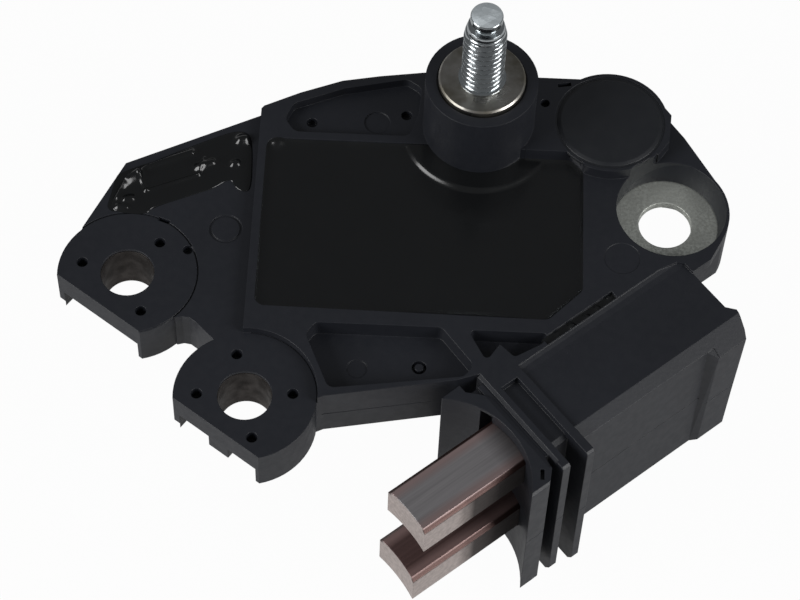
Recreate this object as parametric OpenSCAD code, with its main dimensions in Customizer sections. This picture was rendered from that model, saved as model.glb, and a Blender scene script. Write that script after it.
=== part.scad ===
// Alternator voltage regulator with its brush holder.
// Millimetres. Z is up and parallel to the terminal stud; z = 0 is the mounting
// plane under the lug sleeves. X and Y follow the straight edges of the potted well,
// and positions are given from a point in that well.

/* [Body] */
// Height of the wing and of both lugs above the mounting plane
lug_top = 6.9; // [6:0.1:7.5]
// Underside of the wing and of both lugs
lug_bot = 0.7; // [0:0.1:1.2]
// Height of the raised frame round the potted well
frame_top = 7.9; // [7.5:0.1:9]
// Height of the potting surface inside the frame
pot_top = 7.4; // [6.6:0.1:7.8]
// Thickness of the floor under the well
well_floor = 2; // [1.5:0.1:2.3]
// Thickness of the wing plate over its hollow underside
wing_wall = 3.3; // [2.8:0.1:4]
// Thickness of the skirt round the wing
skirt = 1.7; // [1.2:0.1:2.4]
// Depth of the moulded pockets in front of the well
pocket_depth = 2.5; // [1:0.1:3.5]
// Depth of the shallow pocket behind the well
rear_pocket_depth = 1.3; // [0.5:0.1:3]
// Height of the mould parting line on the front edge of the plate
plate_part_z = 3.6; // [2:0.1:5]
// Height of the mould parting line on the side of the brush box
box_part_z = -2.6; // [-5:0.1:0]
// Width of the mould parting lines
part_line = 0.12; // [0.05:0.01:0.3]

/* [Mounting lugs] */
// Left lug centre, X
lug_a_x = -31.66; // [-32.5:0.01:-31]
// Left lug centre, Y
lug_a_y = 2.2; // [1.5:0.01:3]
// Front lug centre, X
lug_b_x = -17.09; // [-17.6:0.01:-16.6]
// Front lug centre, Y
lug_b_y = -13.41; // [-14:0.01:-13]
// Radius of a lug
lug_r = 8.15; // [7.8:0.05:8.4]
// Bore of the lug sleeves, diameter
sleeve_bore = 6.15; // [5:0.05:6.4]
// Outside diameter of the lug sleeves
sleeve_od = 7.2; // [6.8:0.1:8]
// Plastic lip over the top end of a sleeve, thickness
sleeve_lip = 0.4; // [0.2:0.05:0.8]
// Distance of the flat from the lug centre
flat_d = 5.25; // [5:0.05:6]
// Direction in which the flats face, degrees
flat_ang = 234.5; // [230:0.5:240]
// Radius of the ring of core holes in a lug
core_r = 5.45; // [5.2:0.05:5.8]
// Diameter of a core hole
core_d = 1.3; // [0.6:0.1:1.6]
// Depth of a core hole
core_depth = 1.7; // [0.5:0.1:1.7]

/* [Terminal tower and stud] */
// Tower centre, X
tower_x = 8.48; // [8:0.01:9]
// Tower centre, Y
tower_y = 24.12; // [23.6:0.01:24.6]
// Tower radius
tower_r = 6.62; // [6.2:0.01:7]
// Height of the tower
tower_top = 17.2; // [14:0.1:22]
// Thread size of the stud, diameter
stud_d = 5; // [4:0.5:6]
// Diameter of the plain shoulder that the washer sits on
shoulder_d = 5.5; // [5.2:0.1:6.5]
// Length of the stud above the tower rim
stud_reach = 12.9; // [8:0.1:20]
// Diameter of the dog point
dog_d = 3.7; // [2.5:0.05:3.8]
// Length of the dog point with its cone
dog_len = 3.8; // [3:0.1:5]
// Across flats of the stud head
head_af = 8; // [6.5:0.1:9]
// Thickness of the stud head
head_t = 2.5; // [1.5:0.1:4]
// Diameter of the contact washer
washer_d = 10.2; // [8:0.05:11]
// Thickness of the contact washer
washer_t = 1; // [0.9:0.1:2]
// Height of the washer above the tower rim
washer_proud = 0.7; // [0:0.05:0.8]

/* [Round cap] */
// Cap centre, X
cap_x = 24.07; // [23.9:0.01:24.3]
// Cap centre, Y
cap_y = 24.26; // [24:0.01:24.5]
// Cap radius
cap_r = 6.45; // [6:0.05:6.6]
// Height of the cap
cap_top = 9.7; // [9:0.1:11]
// Thickness of the cap
cap_t = 1.4; // [0.8:0.1:2]
// Diameter of the suppression capacitor
capacitor_d = 8.6; // [6:0.1:9]

/* [Eyelet] */
// Eyelet centre, X
eye_x = 30.95; // [30.7:0.01:31.2]
// Eyelet centre, Y
eye_y = 13.09; // [12.9:0.01:13.3]
// Bore of the eyelet, diameter
eye_bore = 6.25; // [5:0.05:7]
// Outside diameter of the eyelet
eye_od = 12.56; // [12:0.02:12.8]
// Height of the eyelet face
eye_top = 4.75; // [4.5:0.05:6]
// Sheet thickness of the eyelet and the busbars
bar_t = 0.9; // [0.6:0.05:1]
// Diameter of the clearance under the eyelet
eye_clear = 11.2; // [9:0.1:11.5]
// Radius of the boss round the eyelet
eye_boss_r = 7.3; // [7.2:0.05:7.6]

/* [Brush holder] */
// Direction of the brush axis from X, degrees
brush_ang = 40; // [38:0.5:42]
// Front end of the brush box along the brush axis
box_u0 = 5; // [4.6:0.1:5.4]
// Rear end of the brush box
box_u1 = 29.05; // [28.8:0.05:29.5]
// Lean of the rear end of the brush box, degrees
box_lean = 4; // [0:0.5:5]
// Left side of the brush box
box_v0 = 15.8; // [15.5:0.1:16]
// Right side of the brush box at its underside
box_v1 = 27.9; // [27.4:0.1:28.4]
// Top of the brush box
box_top = 7.5; // [7:0.1:7.8]
// Underside of the brush box
box_bot = -11.4; // [-13:0.1:-11]
// Across-centre of both brushes
brush_v = 21.6; // [21.3:0.05:21.9]
// Width of a brush
brush_w = 6.6; // [5:0.1:6.8]
// Height of a brush
brush_h = 4.8; // [3:0.1:5]
// Bevel along the top edges of a brush
brush_bevel = 0.5; // [0.1:0.05:1]
// Clearance of a brush in its chute, each side
brush_gap = 0.1; // [0.05:0.01:0.15]
// Top of the upper brush
brush_a_top = 6.1; // [5.7:0.1:6.2]
// Distance between the two brushes
brush_pitch = 10.8; // [10.4:0.1:10.9]
// Front end of the upper brush
brush_a_u = -15.9; // [-17:0.1:-14]
// Front end of the lower brush
brush_b_u = -17; // [-17.4:0.1:-14]
// Rear end of both brushes
brush_u1 = 7.4; // [6:0.1:9]
// Rear end of the chutes
chute_u1 = 25.8; // [25:0.1:26]
// Sheet thickness of the brush contacts
contact_t = 0.8; // [0.5:0.05:0.9]
// Radius of the hollow worn into the end face of a brush
wear_r = 20; // [12:0.5:40]
// Sideways shift of the hollow of the lower brush, so that its face is askew
wear_shift = 0.9; // [0:0.1:2]

/* [Shroud and flanges] */
// Shroud axis along the brushes
shroud_u = -11.7; // [-12:0.05:-11.4]
// Shroud axis across the brushes
shroud_v = 21.5; // [21.2:0.05:21.8]
// Inner radius of the shroud
shroud_r = 10.7; // [10.4:0.05:11]
// Rear face of the shroud
shroud_u1 = 0.1; // [0:0.05:0.3]
// Underside of the shroud
shroud_bot = -16.5; // [-18:0.1:-14]
// Underside of the front flange
flange_a_bot = -18.1; // [-20:0.1:-14]
// Underside of the rear flange
flange_b_bot = -19.2; // [-20:0.1:-14]
// Right edge of the flanges
flange_v1 = 29; // [28.6:0.1:29.6]
// Thickness of a flange
flange_t = 1.05; // [0.7:0.05:1.2]
// Rear face of the flange at the shroud, along the brush axis
flange_a_u1 = 1.65; // [1.5:0.05:1.9]

/* [Brush springs] */
// Outside diameter of a spring
spring_d = 3.6; // [2.6:0.1:4]
// Wire of a spring
spring_wire = 0.45; // [0.3:0.05:0.6]
// Turns of a spring
spring_turns = 8; // [4:1:12]
// Diameter of a pigtail
pigtail_d = 1.1; // [0.6:0.1:1.4]

/* [Electronics] */
// Thickness of the heat sink plate
sink_t = 1.4; // [1:0.1:1.5]
// Thickness of the ceramic substrate
ceramic_t = 0.6; // [0.4:0.05:0.6]
// Thickness of the chips
chip_t = 0.5; // [0.3:0.05:0.8]
// Level of the busbars that end in the well
bar_z = 4.1; // [4.05:0.05:4.3]

/* [Hidden] */
$fn = 64;
eps = 0.01;
sink_z = well_floor + sink_t;
chip_z = sink_z + ceramic_t;
stud_top = tower_top + stud_reach;
washer_z = tower_top + washer_proud - washer_t;
brush_b_top = brush_a_top - brush_pitch;
chute_w = brush_w + 2 * brush_gap;
chute_h = brush_h + 2 * brush_gap;
cover_u0 = chute_u1 + contact_t;
pocket_v0 = 16.6;
pocket_v1 = 25.7;
cl_black = [0.15, 0.16, 0.18];
cl_dark = [0.09, 0.09, 0.10];
cl_resin = [0.12, 0.11, 0.10];
cl_steel = [0.72, 0.74, 0.74];
cl_brass = [0.72, 0.55, 0.28];
cl_copper = [0.72, 0.42, 0.28];
cl_alu = [0.65, 0.67, 0.70];
cl_carbon = [0.30, 0.28, 0.28];
cl_white = [0.88, 0.88, 0.84];

// The part's origin is the bore of the left lug in the mounting plane.
module placed() translate([-lug_a_x, -lug_a_y, 0]) children();
// Brush-holder frame: x runs along the brushes, y across them, z up.
module in_holder() rotate([0, 0, brush_ang]) mirror([0, 1, 0]) children();
// Extrudes a profile of the holder's section (across, up) along the brushes.
module along(u0, u1) translate([u0, 0, 0]) rotate([90, 0, 90])
    linear_extrude(height = u1 - u0) children();
// Lug frame: x runs along the flat, -y points out through it.
module at_lug(x, y) translate([x, y, 0]) rotate([0, 0, flat_ang + 90]) children();
module slab(z0, z1) translate([0, 0, z0]) linear_extrude(height = z1 - z0) children();
module disc(x, y, r, z0, z1) translate([x, y, z0]) cylinder(r = r, h = z1 - z0);
module tube(r1, r0, z0, z1) difference() {
    disc(0, 0, r1, z0, z1);
    disc(0, 0, r0, z0 - 1, z1 + 1);
}
module block(u0, u1, v0, v1, z0, z1) translate([u0, v0, z0]) cube([u1 - u0, v1 - v0, z1 - z0]);
module rounded(r) offset(r = r, $fn = 24) offset(delta = -r) children();

// Plan of the low wing that carries both lugs
module wing_plan() difference() {
    union() {
        polygon([[-38.6, 6.3], [-37.6, 7.7], [-33.1, 17.3], [-17.6, 24.9], [-16.9, 24.9],
            [-16.9, -7], [-20.4, -7], [-23.45, -3.98], [-24.1, -3.5], [-24.9, -3.38],
            [-25.7, -3.6], [-31.66, 2.2]]);
        translate([lug_a_x, lug_a_y]) circle(r = lug_r);
        translate([lug_b_x, lug_b_y]) circle(r = lug_r);
    }
    for (p = [[lug_a_x, lug_a_y], [lug_b_x, lug_b_y]]) translate(p)
        rotate(flat_ang) translate([flat_d, -10]) square([10, 20]);
}
// Plan of the raised frame
module frame_plan() {
    polygon([[-17.8, -6], [-17.5, 25.3], [-17.2, 25.7], [-13, 27.8], [-8, 29.8],
        [-3.5, 30.7], [1.8, 31.5], [14, 31], [20.2, 30.9], [24, 30.9], [29.3, 28.6],
        [33.1, 23.5], [37.1, 16.9], [37.9, 15.1], [38.2, 13.1], [37.3, 9.4],
        [35.9, 6.6], [33.6, 4.7], [26, -1.5], [14.44, -9.43], [11.03, -12.29],
        [9.1, -9.99], [6.9, -10.8], [-8.2, -13.6], [-9, -14]]);
    translate([eye_x, eye_y]) circle(r = eye_boss_r);
    translate([tower_x, tower_y]) circle(r = tower_r);
}
module well_plan() difference() {
    rounded(1.2) polygon([[-16.6, 21.15], [-16.75, -2], [17.1, -2.4],
        [21.05, 1.7], [21.05, 18.2], [19.6, 19.8], [14, 19.8], [14, 21.15]]);
    translate([tower_x, tower_y]) circle(r = tower_r);
}
module window_plan() translate([-10, 2]) square([24, 13]);
module front_pocket_plan() rounded(1) polygon([[-10.6, -5.6], [-9.6, -4], [4.9, -4],
    [8.7, -8.8], [7.6, -10.3], [-7.7, -12.5]]);
module corner_pocket_plan() rounded(0.5) polygon([[7.9, -4.2], [17.5, -4.2], [16.3, -5.7],
    [13.3, -7.5], [11.6, -5.9], [10.1, -8.2]]);
module rear_pocket_plan() rounded(1.2) polygon([[-14.6, 24], [-13.7, 26.2], [-7.7, 28.7],
    [-0.2, 30.4], [1.6, 29.2], [1.3, 25.5], [0.4, 22.2], [-13.4, 22.2]]);
module sealant_plan() rounded(0.8) polygon([[-34.9, 10.4], [-34, 15.6], [-31.9, 16.8],
    [-19.6, 22], [-18.5, 20.6], [-18.5, 16.6], [-22.9, 14.6], [-29.8, 10.9]]);
// Resin trench beside the brush box, drawn along it
module trench_plan() polygon([[9.4, 14.3], [19.8, 14.3], [19.8, 15.3], [9.4, 15.3]]);
// Raised land between the tower and the round cap
module land_plan() intersection() {
    union() {
        translate([cap_x, cap_y]) circle(r = cap_r + 0.55);
        polygon([[14, 19.8], [19.6, 19.8], [24, 24], [23, 30.3], [13, 30.3], [10, 24]]);
        polygon([[28.9, 29], [31.4, 25.6], [31.1, 21.8], [29.8, 19.9], [24, 24]]);
    }
    union() {
        frame_plan();
        translate([cap_x, cap_y]) circle(r = cap_r + 0.55);
    }
}

module lug_feet(mid) {
    // open space behind the lower half of the flat, between the moulded feet
    block(-5.4, mid ? -1.1 : 5.7, -flat_d - 1, -flat_d + 1.7, lug_bot - 1, lug_top - wing_wall);
    if (mid) block(1.7, 5.7, -flat_d - 1, -flat_d + 1.7, lug_bot - 1, lug_top - wing_wall);
    // the feet at the left end and in the middle are short
    block(-8, -5.4 - eps, -flat_d - 1, -flat_d + 1.7, lug_bot - 1, lug_bot + 1);
    if (mid) block(-1.1 - eps, 1.7 + eps, -flat_d - 1, -flat_d + 1.7, lug_bot - 1, lug_bot + 0.9);
}
module wing() difference() {
    slab(lug_bot, lug_top) wing_plan();
    // hollow underside
    slab(-1, lug_top - wing_wall) difference() {
        offset(delta = -skirt) wing_plan();
        translate([lug_a_x, lug_a_y]) circle(r = lug_r - 0.4);
        translate([lug_b_x, lug_b_y]) circle(r = lug_r - 0.4);
    }
    at_lug(lug_a_x, lug_a_y) lug_feet(false);
    at_lug(lug_b_x, lug_b_y) lug_feet(true);
    // shallow tray for the sealant
    slab(lug_top - 0.8, lug_top + 1) sealant_plan();
    // edge of the left lug, ring mark and the small moulded slots
    translate([lug_a_x, lug_a_y, 0]) tube(lug_r + 0.08, lug_r - 0.1, lug_top - 0.2, lug_top + 1);
    translate([-20.7, 8.7, 0]) tube(1.95, 1.65, lug_top - 0.12, lug_top + 1);
    translate([-28, 9.5, lug_top - 0.8]) rotate([0, 0, -20]) cube([1.4, 0.5, 2], center = true);
    disc(-24.9, 5.6, 0.6, lug_top - 1, lug_top + 1);
}
module lug_cuts() {
    for (p = [[lug_a_x, lug_a_y], [lug_b_x, lug_b_y]]) {
        disc(p[0], p[1], sleeve_od / 2, -1, lug_top - sleeve_lip);
        disc(p[0], p[1], sleeve_bore / 2 + 0.05, 0, lug_top + 1);
    }
    for (a = [168, 51, -69]) translate([lug_a_x, lug_a_y, 0]) rotate([0, 0, a])
        disc(core_r, 0, core_d / 2, lug_top - core_depth, lug_top + 1);
    for (a = [103, 180, 5, -78]) translate([lug_b_x, lug_b_y, 0]) rotate([0, 0, a])
        disc(core_r, 0, core_d / 2, lug_top - core_depth, lug_top + 1);
}
module frame() {
    slab(0, lug_top - 0.1) frame_plan();
    slab(lug_top - 0.2, frame_top) difference() {
        frame_plan();
        translate([lug_b_x, lug_b_y]) circle(r = lug_r + 0.1);
    }
    slab(0, cap_top - 0.15) land_plan();
    disc(tower_x, tower_y, tower_r, 0, tower_top);
}
// Part of the frame that the brush box replaces
module blend_plan() polygon([[box_u0 - 0.02, 15.4], [26.2, 15.4], [28.4, 15.9], [29, 16.6],
    [29, 30], [box_u0 - 0.02, 30]]);
module frame_cuts() {
    in_holder() slab(5, 20) blend_plan();
    slab(well_floor, 30) well_plan();
    slab(-1, well_floor + 1) window_plan();
    slab(frame_top - pocket_depth, 20) front_pocket_plan();
    slab(frame_top - pocket_depth, 20) corner_pocket_plan();
    slab(frame_top - rear_pocket_depth, 20) rear_pocket_plan();
    in_holder() slab(frame_top - 1.2, 20) trench_plan();
    // core holes and ejector marks
    for (p = [[-11.4, 24.4], [-0.1, 26]]) disc(p[0], p[1], 0.65, frame_top - 2.2, 20);
    disc(-3.6, 24.8, 1.55, frame_top - rear_pocket_depth - 0.15, 20);
    disc(-4.6, -8.5, 1.2, frame_top - pocket_depth - 0.15, 20);
    translate([2.5, -8, 0]) tube(0.85, 0.5, frame_top - pocket_depth - 0.8, frame_top);
    disc(25.6, 6.3, 2.1, frame_top - 0.06, 20);
    disc(16.3, 26.6, 0.55, cap_top - 1.3, 20);
    translate([18.6, 29.4, cap_top]) rotate([0, 0, 10]) cube([1.6, 0.5, 2], center = true);
    // mould parting line
    translate([-8.6, -13.72, plate_part_z]) rotate([0, 0, 10.2]) cube([15, part_line, part_line]);
}
module eyelet_cuts() {
    // the recess is a cone that an offset round wall trims at the front and left
    intersection() {
        translate([eye_x, eye_y, eye_top]) cylinder(r1 = eye_od / 2, r2 = 7.45,
            h = (frame_top - eye_top) * 1.6);
        disc(eye_x + 0.47, eye_y + 0.33, 6.51, eye_top - 1, frame_top + 2);
    }
    disc(eye_x, eye_y, eye_od / 2, eye_top - bar_t, eye_top + eps);
    disc(eye_x, eye_y, eye_clear / 2, -1, eye_top);
}
module tower_cuts() {
    disc(tower_x, tower_y, washer_d / 2 + 0.2, washer_z, tower_top + 1);
    disc(tower_x, tower_y, shoulder_d / 2 + 0.02, bar_z, tower_top);
    translate([tower_x, tower_y, bar_z]) stud_head();
}
module cap_cuts() {
    disc(cap_x, cap_y, cap_r + 0.1, cap_top - cap_t, 20);
    disc(cap_x, cap_y, capacitor_d / 2 + 0.2, 1.4, 20);
}

// Section of the brush box: flat top, wide bevel and drafted side
module box_profile(right, lean) polygon([[box_v0, box_bot], [right, box_bot],
    [right - lean, box_top - (right - lean - 25.2) * 0.48], [25.2, box_top], [16.6, box_top],
    [15.9, box_top + 0.1], [15.5, box_top + 0.24], [15.34, frame_top - 0.1], [15.34, 4],
    [box_v0 - 0.3, 0]]);
module brush_box() {
    along(box_u0 - flange_t, box_u1 - 4) box_profile(box_v1, 1.15);
    // the rear end is wider and leans forward, with a nib on its chamfered corner
    intersection() {
        along(box_u0 + 10, box_u1 + 2) box_profile(box_v1 + 0.5, 0.5);
        translate([box_u1, 0, box_top]) rotate([0, box_lean, 0]) {
            slab(-25, 5) polygon([[-4.2, 0], [0, 0], [0, 23.7], [0.85, 24.75], [0.7, 25.6],
                [0.3, 27], [-0.3, 28.2], [-0.6, 30], [-4.2, 30]]);
            // slope of the step up to the wider end
            translate([-box_u1, 0, -box_top - 0.4]) hull() {
                along(box_u1 - 5.2, box_u1 - 5.1) box_profile(box_v1, 1.15);
                along(box_u1 - 4.3, box_u1 - 4.1) box_profile(box_v1 + 0.5, 0.5);
            }
        }
    }
}
// Flange and shroud outlines in the section across the brushes
module across(v0, v1) translate([0, v1, 0]) rotate([90, 0, 0])
    linear_extrude(height = v1 - v0) children();
module flange_profile(left, right, bot) polygon([[left, frame_top], [left, bot],
    [right - 0.6, bot], [right, bot + 0.9], [right, frame_top - 0.3],
    [right - 0.3, frame_top]]);
module shroud() intersection() {
    difference() {
        slab(shroud_bot, frame_top) polygon([[-4.6, 13.5], [-1.95, 13.4], [-1.95, 14.5],
            [-1, 15.5], [shroud_u1, 16.8], [shroud_u1, 26.2], [-0.3, 27.9],
            [-1.7, 29.25], [-4.6, 29.4]]);
        translate([shroud_u, shroud_v, shroud_bot - 1]) cylinder(r = shroud_r, h = 40, $fn = 96);
    }
    along(-6, 6) flange_profile(13, 29.3, shroud_bot);
}
module holder_solid() in_holder() {
    brush_box();
    shroud();
    along(flange_a_u1 - flange_t, flange_a_u1) flange_profile(13.5, flange_v1 - 0.2, flange_a_bot);
    along(box_u0 - flange_t, box_u0) flange_profile(13.2, flange_v1, flange_b_bot);
    // cores that join the shroud and the flanges
    along(-0.3, 1) polygon([[14.6, 4], [26.2, 4], [26.2, frame_top - 0.45], [14.6, frame_top - 0.45]]);
    along(-2, box_u0) polygon([[16.6, box_bot + 0.6], [25.6, box_bot + 0.6],
        [25.6, frame_top - 1.2], [25, frame_top - 0.9], [14.6, frame_top - 0.9], [14.6, 4],
        [16.6, 4]]);
}
module holder_cuts() in_holder() {
    translate([shroud_u, shroud_v, -30]) cylinder(r = shroud_r, h = 60, $fn = 96);
    // brush chutes
    for (z = [brush_a_top, brush_b_top]) block(-6, chute_u1 + eps, brush_v - chute_w / 2,
        brush_v + chute_w / 2, z - brush_h - brush_gap, z + brush_gap);
    // rear opening that takes the contacts and the cover
    block(chute_u1, 40, pocket_v0, pocket_v1, box_bot + 1.2, box_top - 1);
    // slope from the frame down to the core between the flanges
    along(flange_a_u1, box_u0 - flange_t) polygon([[14.1, frame_top + 0.02],
        [16.7, frame_top - 0.91], [16.7, 20], [14.1, 20]]);
    // soft groove in front of each flange's upper edge
    across(13.6, 27.6) polygon([[-0.55, frame_top + 0.02], [0.5, frame_top - 0.5],
        [max(0.6, flange_a_u1 - flange_t), frame_top - 0.5], [flange_a_u1 - 0.75, frame_top + 0.02],
        [flange_a_u1 - 0.75, 9], [-0.55, 9]]);
    across(15.1, 28.7) polygon([[box_u0 - flange_t - 0.1, frame_top - 0.35],
        [box_u0 - 0.8, frame_top + 0.02], [box_u0 - 0.8, 9], [box_u0 - flange_t - 0.1, 9]]);
    // relief beside the upper brush
    block(-6, -0.2, 17.2, brush_v - chute_w / 2 + 0.5, brush_a_top - brush_h - brush_gap,
        frame_top - 0.4);
    // mould parting line
    block(box_u0, box_u1 - 5.8, box_v1 - 0.7, 40, box_part_z, box_part_z + part_line);
    block(box_u1 - 5.9, 30, box_v1 + 0.1, 40, box_part_z - 0.7, box_part_z - 0.7 + part_line);
    for (p = [[-6, 0.1, 1.2], [0.5, flange_a_u1 + 0.05, 2.2], [box_u0 - flange_t - 0.1, box_u0 + eps, 3.5]])
        block(p[0], p[1], flange_v1 - 0.35, 40, box_part_z - p[2], box_part_z - p[2] + part_line);
    translate([-1.65, 27.85, frame_top]) rotate([0, 0, 40]) cube([0.45, 1.3, 1.4], center = true);
}

module housing() color(cl_black) placed() difference() {
    union() {
        wing();
        difference() {
            frame();
            frame_cuts();
        }
        holder_solid();
    }
    lug_cuts();
    eyelet_cuts();
    tower_cuts();
    cap_cuts();
    holder_cuts();
    ground_busbar_shape();
    stud_busbar_shape();
    eyelet_tail();
    upper_contact_shape();
    lower_contact_shape();
}

module rear_cover() color(cl_dark) placed() in_holder() difference() {
    intersection() {
        block(cover_u0, box_u1 + 2, pocket_v0 + brush_gap, pocket_v1 - brush_gap,
            box_bot + 1.2 + brush_gap, box_top - 1 - brush_gap);
        translate([box_u1, 0, box_top]) rotate([0, box_lean, 0]) translate([-8, 0, -25])
            cube([8, 30, 30]);
    }
    // moulded relief behind each contact
    for (z = [brush_a_top, brush_b_top]) block(cover_u0 - 1, cover_u0 + 0.6, brush_v - 2,
        brush_v + 2, z - brush_h + 0.6, z - 0.6);
}
module round_cap() color(cl_dark) placed() translate([cap_x, cap_y, cap_top]) rotate_extrude()
    polygon([[0, -cap_t], [cap_r, -cap_t], [cap_r, -0.6], [cap_r - 0.18, -0.18], [cap_r - 0.6, 0],
        [0, 0]]);

// Potting with its meniscus round the tower
module potting() color(cl_resin) placed() difference() {
    union() {
        slab(well_floor, pot_top) well_plan();
        intersection() {
            translate([tower_x, tower_y, pot_top - eps]) cylinder(r1 = tower_r + 2.4,
                r2 = tower_r + 0.2, h = 0.7);
            slab(pot_top - 1, pot_top + 2) well_plan();
        }
    }
    sink_shape();
    substrate_shape();
    for (c = chips) chip_shape(c);
    ground_busbar_shape();
    stud_busbar_shape();
    eyelet_tail();
    upper_contact_shape();
    lower_contact_shape();
}
module wing_sealant() color(cl_resin) placed() difference() {
    slab(lug_top - 0.8, lug_top + 0.05) sealant_plan();
    ground_busbar_shape();
}
module trench_sealant() color(cl_resin) placed() in_holder() slab(frame_top - 1.2, frame_top - 0.5)
    trench_plan();

module stud_head() cylinder(r = head_af / 2 / cos(30), h = head_t + bar_t, $fn = 6);
module terminal_stud() color(cl_steel) placed() translate([tower_x, tower_y, 0]) {
    translate([0, 0, bar_z + bar_t]) cylinder(r = head_af / 2 / cos(30), h = head_t, $fn = 6);
    disc(0, 0, shoulder_d / 2, bar_z + bar_t + 1, washer_z + washer_t + 0.15);
    rotate_extrude() translate([0, stud_top]) polygon([[0, -stud_top + washer_z],
        [stud_d / 2, -stud_top + washer_z], [stud_d / 2, -dog_len],
        [min(dog_d / 2 + 0.3, stud_d / 2 - 0.1), -2], [dog_d / 2 - 0.25, -1.5], [dog_d / 2 - 0.25, -1.2],
        [dog_d / 2, -0.9], [dog_d / 2, -0.4], [dog_d / 2 - 0.6, -0.05], [0, 0]]);
}
module contact_washer() color(cl_steel) placed() translate([tower_x, tower_y, 0]) difference() {
    rotate_extrude() translate([0, washer_z]) polygon([[0, 0], [washer_d / 2, 0],
        [washer_d / 2, washer_t - 0.2], [washer_d / 2 - 0.2, washer_t], [0, washer_t]]);
    disc(0, 0, shoulder_d / 2 + 0.05, washer_z - 1, washer_z + 5);
}

module sleeve() color(cl_steel) tube(sleeve_od / 2, sleeve_bore / 2, 0, lug_top - sleeve_lip);
module left_lug_sleeve() placed() translate([lug_a_x, lug_a_y, 0]) sleeve();
module front_lug_sleeve() placed() translate([lug_b_x, lug_b_y, 0]) sleeve();

// Stamped strip of the given width between two plan points
module strip(a, b, w, z) translate([a[0], a[1], z])
    rotate([0, 0, atan2(b[1] - a[1], b[0] - a[0])]) translate([0, -w / 2, 0])
        cube([norm(b - a), w, bar_t]);
module lug_ring(x, y) difference() {
    disc(x, y, core_r + core_d / 2 + 0.3, bar_z, bar_z + bar_t);
    at_lug(x, y) block(-10, 10, -20, -flat_d + 0.9, 0, 20);
}
module ground_busbar_shape() difference() {
    union() {
        lug_ring(lug_a_x, lug_a_y);
        lug_ring(lug_b_x, lug_b_y);
        strip([lug_a_x, lug_a_y], [-25.5, 14.5], 4, bar_z);
        strip([lug_a_x + 3, 1.6], [-17.7, 1.6], 3, bar_z);
        strip([-19.2, 2], [-19.2, lug_b_y + 4], 3, bar_z);
        strip([-26.6, 14.2], [-13.8, 17.6], 3.4, bar_z);
        // weld tabs under the sealant
        for (p = [[-28.3, 13.2], [-23.6, 16.8]]) translate([p[0], p[1], bar_z])
            rotate([0, 0, 24]) translate([-1.2, -0.4, 0]) cube([2.4, 0.8, lug_top - 0.4 - bar_z]);
        strip([-28.3, 11.6], [-27.6, 14], 3.4, bar_z);
    }
    for (p = [[lug_a_x, lug_a_y], [lug_b_x, lug_b_y]]) disc(p[0], p[1], sleeve_od / 2, -1, 20);
}
module ground_busbar() color(cl_brass) placed() ground_busbar_shape();
module stud_busbar_shape() {
    disc(tower_x, tower_y, 5, bar_z, bar_z + bar_t);
    strip([tower_x, tower_y], [tower_x, 15.2], 4, bar_z);
}
module stud_busbar() color(cl_brass) placed() stud_busbar_shape();
module eyelet_tail() strip([eye_x - 5, eye_y], [19.6, eye_y], 4, eye_top - bar_t);
module eyelet() color(cl_steel) placed() difference() {
    union() {
        disc(eye_x, eye_y, eye_od / 2, eye_top - bar_t, eye_top);
        eyelet_tail();
    }
    disc(eye_x, eye_y, eye_bore / 2, eye_top - 5, eye_top + 5);
}

// Carbon brush with bevelled edges and a face worn to the slip ring
module brush(u0, top, shift) color(cl_carbon) placed() in_holder() translate([0, brush_v, top]) difference() {
    along(u0 - 0.5, brush_u1) polygon([[brush_w / 2, -brush_h], [brush_w / 2, -brush_bevel],
        [brush_w / 2 - brush_bevel, 0], [brush_bevel - brush_w / 2, 0],
        [-brush_w / 2, -brush_bevel], [-brush_w / 2, -brush_h]]);
    translate([u0 + 0.27 - wear_r, shift, -brush_h - 1]) cylinder(r = wear_r, h = brush_h + 2,
        $fn = 180);
    // shaves what stands out beside the hollow
    translate([u0 - 3, 0, -brush_h / 2]) rotate([0, 0, -asin(shift / wear_r)])
        translate([0, -10, -5]) cube([3, 20, 10]);
}
module upper_brush() brush(brush_a_u, brush_a_top, 0);
module lower_brush() brush(brush_b_u, brush_b_top, -wear_shift);

// Compression spring: a helix as a stack of twisted slices of its wire section
module spring(top) color(cl_steel) placed() in_holder() translate([brush_u1, brush_v, top - brush_h / 2])
    rotate([0, 90, 0]) linear_extrude(height = chute_u1 - brush_u1,
        twist = -360 * spring_turns, slices = 18 * spring_turns, segments = 10)
            spring_section();
module spring_section() {
    rm = (spring_d - spring_wire) / 2;
    // the wire's section in the plane across the axis is a short arc
    half = spring_wire / ((chute_u1 - brush_u1) / spring_turns) * 180;
    polygon([for (t = [-1, -0.6, 0, 0.6, 1]) (rm + spring_wire / 2 * sqrt(1 - t * t * 0.96))
        * [cos(t * half), sin(t * half)],
        for (t = [1, 0.6, 0, -0.6, -1]) (rm - spring_wire / 2 * sqrt(1 - t * t * 0.96))
        * [cos(t * half), sin(t * half)]]);
}
module upper_spring() spring(brush_a_top);
module lower_spring() spring(brush_b_top);
module pigtail(top) color(cl_copper) placed() in_holder() translate([brush_u1, brush_v, top - brush_h / 2])
    rotate([0, 90, 0]) cylinder(d = pigtail_d, h = chute_u1 - brush_u1);
module upper_pigtail() pigtail(brush_a_top);
module lower_pigtail() pigtail(brush_b_top);

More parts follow.
